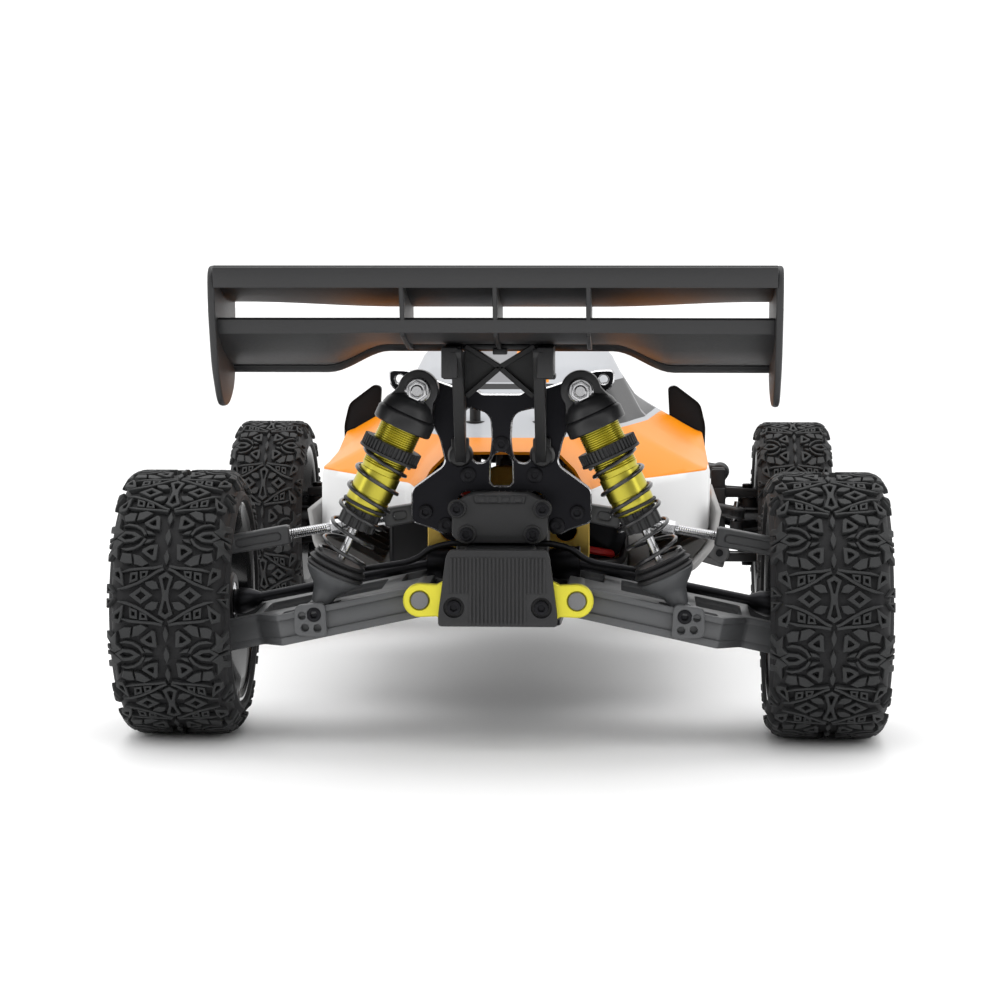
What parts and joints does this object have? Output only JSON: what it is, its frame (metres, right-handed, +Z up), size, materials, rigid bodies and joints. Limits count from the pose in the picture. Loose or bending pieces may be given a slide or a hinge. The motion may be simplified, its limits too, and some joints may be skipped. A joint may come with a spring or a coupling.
{
  "type": "rc buggy",
  "caption": "Four-wheel-drive off-road RC buggy with two-plane rear wing, coil-over shocks, knobbly tyres and painted body shell.",
  "frame": {"origin": "on the ground, midway between the axles and between the wheels; also the bottom centre of the bounding box", "axes": "+Y the way the buggy drives (nose), +X its right-hand side, +Z up"},
  "size_m": [0.308, 0.49, 0.1907],
  "materials": {
    "tyre_rubber": "matt black rubber",
    "rim_plastic": "glossy black moulded nylon",
    "grey_nylon": "mid grey glass-filled nylon",
    "black_nylon": "black glass-filled nylon",
    "guard_nylon": "light grey satin nylon",
    "wing_plastic": "charcoal satin moulded nylon",
    "black_anodised": "black anodised, bright cut chamfers",
    "gold_anodised": "yellow gold anodised",
    "bright_steel": "ground steel",
    "black_steel": "black oxide and black enamel",
    "painted_shell": "clear polycarbonate painted orange, white, silver and black inside",
    "battery_case": "black hard case"
  },
  "bodies": {
    "chassis": {"chassis_plate": "black_anodised", "side_guard_left": "guard_nylon", "side_guard_right": "guard_nylon", "rear_gearbox_case": "black_nylon", "rear_gearbox_cover": "grey_nylon", "rear_shock_tower": "black_anodised", "rear_skid_bumper": "grey_nylon", "rear_pin_holder": "gold_anodised", "wing_mount": "black_nylon", "wing": "wing_plastic", "front_gearbox_case": "black_nylon", "front_shock_tower": "black_anodised", "front_bumper": "black_nylon", "body_shell": "painted_shell", "battery": "battery_case", "motor": "black_steel", "motor_mount": "gold_anodised"},
    "centre_drive": {"spur_gear": "black_steel"},
    "motor_rotor": {"motor_pinion": "bright_steel"},
    "steering_rack": {"steering_link": "black_anodised"},
    "rear_arm_left": {"rear_lower_arm_left": "grey_nylon"},
    "rear_hub_left": {"rear_hub_carrier_left": "black_nylon"},
    "rear_wheel_left": {"rear_wheel_rim_left": "rim_plastic", "rear_tyre_left": "tyre_rubber"},
    "rear_link_left": {"rear_camber_link_left": "grey_nylon"},
    "rear_bone_left": {"rear_drive_bone_left": "black_steel"},
    "rear_damper_left": {"rear_shock_body_left": "gold_anodised", "rear_spring_left": "black_steel"},
    "rear_damper_shaft_left": {"rear_shock_shaft_left": "bright_steel"},
    "front_arm_left": {"front_lower_arm_left": "grey_nylon"},
    "front_hub_left": {"front_caster_block_left": "black_nylon"},
    "front_knuckle_left": {"front_steering_knuckle_left": "black_nylon"},
    "front_wheel_left": {"front_wheel_rim_left": "rim_plastic", "front_tyre_left": "tyre_rubber"},
    "front_link_left": {"front_camber_link_left": "grey_nylon"},
    "front_bone_left": {"front_drive_bone_left": "black_steel"},
    "front_damper_left": {"front_shock_body_left": "gold_anodised", "front_spring_left": "black_steel"},
    "front_damper_shaft_left": {"front_shock_shaft_left": "bright_steel"},
    "tie_rod_left": {"tie_rod_left": "grey_nylon"},
    "rear_arm_right": {"rear_lower_arm_right": "grey_nylon"},
    "rear_hub_right": {"rear_hub_carrier_right": "black_nylon"},
    "rear_wheel_right": {"rear_wheel_rim_right": "rim_plastic", "rear_tyre_right": "tyre_rubber"},
    "rear_link_right": {"rear_camber_link_right": "grey_nylon"},
    "rear_bone_right": {"rear_drive_bone_right": "black_steel"},
    "rear_damper_right": {"rear_shock_body_right": "gold_anodised", "rear_spring_right": "black_steel"},
    "rear_damper_shaft_right": {"rear_shock_shaft_right": "bright_steel"},
    "front_arm_right": {"front_lower_arm_right": "grey_nylon"},
    "front_hub_right": {"front_caster_block_right": "black_nylon"},
    "front_knuckle_right": {"front_steering_knuckle_right": "black_nylon"},
    "front_wheel_right": {"front_wheel_rim_right": "rim_plastic", "front_tyre_right": "tyre_rubber"},
    "front_link_right": {"front_camber_link_right": "grey_nylon"},
    "front_bone_right": {"front_drive_bone_right": "black_steel"},
    "front_damper_right": {"front_shock_body_right": "gold_anodised", "front_spring_right": "black_steel"},
    "front_damper_shaft_right": {"front_shock_shaft_right": "bright_steel"},
    "tie_rod_right": {"tie_rod_right": "grey_nylon"}
  },
  "joints": [
    {"name": "steering_slide", "type": "slide", "parent": "chassis", "child": "steering_rack", "axis": [1, 0, 0], "range_m": [-0.008, 0.008]},
    {"name": "spur_spin", "type": "hinge", "parent": "chassis", "child": "centre_drive", "pos_m": [0, 0, 0.076], "axis": [0, 1, 0], "continuous": true},
    {"name": "pinion_spin", "type": "hinge", "parent": "chassis", "child": "motor_rotor", "pos_m": [0.0305, 0, 0.076], "axis": [0, 1, 0], "continuous": true},
    {"name": "rear_arm_hinge_left", "type": "hinge", "parent": "chassis", "child": "rear_arm_left", "pos_m": [-0.0305, -0.1625, 0.0608], "axis": [0, 1, 0], "range_deg": [-8, 14], "stiffness_Nm_per_rad": 4, "springref_deg": -12.61},
    {"name": "rear_hub_hinge_left", "type": "hinge", "parent": "rear_arm_left", "child": "rear_hub_left", "pos_m": [-0.1175, -0.1625, 0.042], "axis": [0, 1, 0], "range_deg": [-14, 8]},
    {"name": "rear_wheel_spin_left", "type": "hinge", "parent": "rear_hub_left", "child": "rear_wheel_left", "pos_m": [-0.112, -0.1625, 0.0536], "axis": [-1, 0, 0], "continuous": true},
    {"name": "rear_link_pivot_left", "type": "hinge", "parent": "chassis", "child": "rear_link_left", "pos_m": [-0.03, -0.189, 0.0927], "axis": [0, 1, 0], "range_deg": [-9, 15]},
    {"name": "rear_bone_pivot_left", "type": "hinge", "parent": "chassis", "child": "rear_bone_left", "pos_m": [-0.027, -0.1625, 0.07], "axis": [0, 1, 0], "range_deg": [-10, 16]},
    {"name": "rear_damper_pivot_left", "type": "hinge", "parent": "chassis", "child": "rear_damper_left", "pos_m": [-0.0316, -0.201, 0.1419], "axis": [0, 1, 0], "range_deg": [-3, 4]},
    {"name": "rear_damper_slide_left", "type": "slide", "parent": "rear_damper_left", "child": "rear_damper_shaft_left", "axis": [-0.4214, 0, -0.9069], "range_m": [-0.0093, 0.0055], "deforming": ["rear_spring_left"]},
    {"name": "front_arm_hinge_left", "type": "hinge", "parent": "chassis", "child": "front_arm_left", "pos_m": [-0.0305, 0.1625, 0.0608], "axis": [0, 1, 0], "range_deg": [-8, 14], "stiffness_Nm_per_rad": 4, "springref_deg": -11.46},
    {"name": "front_hub_hinge_left", "type": "hinge", "parent": "front_arm_left", "child": "front_hub_left", "pos_m": [-0.097, 0.1625, 0.0415], "axis": [0, 1, 0], "range_deg": [-12, 7]},
    {"name": "front_kingpin_left", "type": "hinge", "parent": "front_hub_left", "child": "front_knuckle_left", "pos_m": [-0.112, 0.1625, 0.0536], "axis": [0, 0, 1], "range_deg": [-25, 25]},
    {"name": "front_wheel_spin_left", "type": "hinge", "parent": "front_knuckle_left", "child": "front_wheel_left", "pos_m": [-0.112, 0.1625, 0.0536], "axis": [-1, 0, 0], "continuous": true},
    {"name": "front_link_pivot_left", "type": "hinge", "parent": "chassis", "child": "front_link_left", "pos_m": [-0.03, 0.189, 0.09], "axis": [0, 1, 0], "range_deg": [-9, 15]},
    {"name": "front_bone_pivot_left", "type": "hinge", "parent": "chassis", "child": "front_bone_left", "pos_m": [-0.027, 0.1625, 0.07], "axis": [0, 1, 0], "range_deg": [-8, 13]},
    {"name": "front_damper_pivot_left", "type": "hinge", "parent": "chassis", "child": "front_damper_left", "pos_m": [-0.03, 0.201, 0.131], "axis": [0, 1, 0], "range_deg": [-3, 4]},
    {"name": "front_damper_slide_left", "type": "slide", "parent": "front_damper_left", "child": "front_damper_shaft_left", "axis": [-0.4213, 0, -0.9069], "range_m": [-0.0078, 0.0046], "deforming": ["front_spring_left"]},
    {"name": "tie_rod_pivot_left", "type": "hinge", "parent": "steering_rack", "child": "tie_rod_left", "pos_m": [-0.032, 0.1435, 0.076], "axis": [0, 1, 0], "range_deg": [-9, 14]},
    {"name": "rear_arm_hinge_right", "type": "hinge", "parent": "chassis", "child": "rear_arm_right", "pos_m": [0.0305, -0.1625, 0.0608], "axis": [0, -1, 0], "range_deg": [-8, 14], "stiffness_Nm_per_rad": 4, "springref_deg": -12.61},
    {"name": "rear_hub_hinge_right", "type": "hinge", "parent": "rear_arm_right", "child": "rear_hub_right", "pos_m": [0.1175, -0.1625, 0.042], "axis": [0, -1, 0], "range_deg": [-14, 8]},
    {"name": "rear_wheel_spin_right", "type": "hinge", "parent": "rear_hub_right", "child": "rear_wheel_right", "pos_m": [0.112, -0.1625, 0.0536], "axis": [-1, 0, 0], "continuous": true},
    {"name": "rear_link_pivot_right", "type": "hinge", "parent": "chassis", "child": "rear_link_right", "pos_m": [0.03, -0.189, 0.0927], "axis": [0, -1, 0], "range_deg": [-9, 15]},
    {"name": "rear_bone_pivot_right", "type": "hinge", "parent": "chassis", "child": "rear_bone_right", "pos_m": [0.027, -0.1625, 0.07], "axis": [0, -1, 0], "range_deg": [-10, 16]},
    {"name": "rear_damper_pivot_right", "type": "hinge", "parent": "chassis", "child": "rear_damper_right", "pos_m": [0.0316, -0.201, 0.1419], "axis": [0, -1, 0], "range_deg": [-3, 4]},
    {"name": "rear_damper_slide_right", "type": "slide", "parent": "rear_damper_right", "child": "rear_damper_shaft_right", "axis": [0.4214, 0, -0.9069], "range_m": [-0.0093, 0.0055], "deforming": ["rear_spring_right"]},
    {"name": "front_arm_hinge_right", "type": "hinge", "parent": "chassis", "child": "front_arm_right", "pos_m": [0.0305, 0.1625, 0.0608], "axis": [0, -1, 0], "range_deg": [-8, 14], "stiffness_Nm_per_rad": 4, "springref_deg": -11.46},
    {"name": "front_hub_hinge_right", "type": "hinge", "parent": "front_arm_right", "child": "front_hub_right", "pos_m": [0.097, 0.1625, 0.0415], "axis": [0, -1, 0], "range_deg": [-12, 7]},
    {"name": "front_kingpin_right", "type": "hinge", "parent": "front_hub_right", "child": "front_knuckle_right", "pos_m": [0.112, 0.1625, 0.0536], "axis": [0, 0, 1], "range_deg": [-25, 25]},
    {"name": "front_wheel_spin_right", "type": "hinge", "parent": "front_knuckle_right", "child": "front_wheel_right", "pos_m": [0.112, 0.1625, 0.0536], "axis": [-1, 0, 0], "continuous": true},
    {"name": "front_link_pivot_right", "type": "hinge", "parent": "chassis", "child": "front_link_right", "pos_m": [0.03, 0.189, 0.09], "axis": [0, -1, 0], "range_deg": [-9, 15]},
    {"name": "front_bone_pivot_right", "type": "hinge", "parent": "chassis", "child": "front_bone_right", "pos_m": [0.027, 0.1625, 0.07], "axis": [0, -1, 0], "range_deg": [-8, 13]},
    {"name": "front_damper_pivot_right", "type": "hinge", "parent": "chassis", "child": "front_damper_right", "pos_m": [0.03, 0.201, 0.131], "axis": [0, -1, 0], "range_deg": [-3, 4]},
    {"name": "front_damper_slide_right", "type": "slide", "parent": "front_damper_right", "child": "front_damper_shaft_right", "axis": [0.4213, 0, -0.9069], "range_m": [-0.0078, 0.0046], "deforming": ["front_spring_right"]},
    {"name": "tie_rod_pivot_right", "type": "hinge", "parent": "steering_rack", "child": "tie_rod_right", "pos_m": [0.032, 0.1435, 0.076], "axis": [0, -1, 0], "range_deg": [-9, 14]}
  ],
  "couplings": [
    {"joint": "pinion_spin", "follows": "spur_spin", "ratio": -3.0667},
    {"joint": "rear_hub_hinge_left", "follows": "rear_arm_hinge_left", "ratio": -0.9045},
    {"joint": "rear_link_pivot_left", "follows": "rear_arm_hinge_left", "ratio": 1.023},
    {"joint": "rear_bone_pivot_left", "follows": "rear_arm_hinge_left", "ratio": 1.0697},
    {"joint": "rear_damper_pivot_left", "follows": "rear_arm_hinge_left", "ratio": 0.2285},
    {"joint": "rear_damper_slide_left", "follows": "rear_arm_hinge_left", "m_per_rad": -0.036313},
    {"joint": "front_hub_hinge_left", "follows": "front_arm_hinge_left", "ratio": -0.7556},
    {"joint": "front_kingpin_left", "follows": "steering_slide", "rad_per_m": 52.6},
    {"joint": "front_link_pivot_left", "follows": "front_arm_hinge_left", "ratio": 0.9888},
    {"joint": "front_bone_pivot_left", "follows": "front_arm_hinge_left", "ratio": 0.8326},
    {"joint": "front_damper_pivot_left", "follows": "front_arm_hinge_left", "ratio": 0.2391},
    {"joint": "front_damper_slide_left", "follows": "front_arm_hinge_left", "m_per_rad": -0.030167},
    {"joint": "tie_rod_pivot_left", "follows": "front_arm_hinge_left", "ratio": 0.9436},
    {"joint": "rear_hub_hinge_right", "follows": "rear_arm_hinge_right", "ratio": -0.9045},
    {"joint": "rear_link_pivot_right", "follows": "rear_arm_hinge_right", "ratio": 1.023},
    {"joint": "rear_bone_pivot_right", "follows": "rear_arm_hinge_right", "ratio": 1.0697},
    {"joint": "rear_damper_pivot_right", "follows": "rear_arm_hinge_right", "ratio": 0.2285},
    {"joint": "rear_damper_slide_right", "follows": "rear_arm_hinge_right", "m_per_rad": -0.036313},
    {"joint": "front_hub_hinge_right", "follows": "front_arm_hinge_right", "ratio": -0.7556},
    {"joint": "front_kingpin_right", "follows": "steering_slide", "rad_per_m": 52.6},
    {"joint": "front_link_pivot_right", "follows": "front_arm_hinge_right", "ratio": 0.9888},
    {"joint": "front_bone_pivot_right", "follows": "front_arm_hinge_right", "ratio": 0.8326},
    {"joint": "front_damper_pivot_right", "follows": "front_arm_hinge_right", "ratio": 0.2391},
    {"joint": "front_damper_slide_right", "follows": "front_arm_hinge_right", "m_per_rad": -0.030167},
    {"joint": "tie_rod_pivot_right", "follows": "front_arm_hinge_right", "ratio": 0.9436}
  ]
}
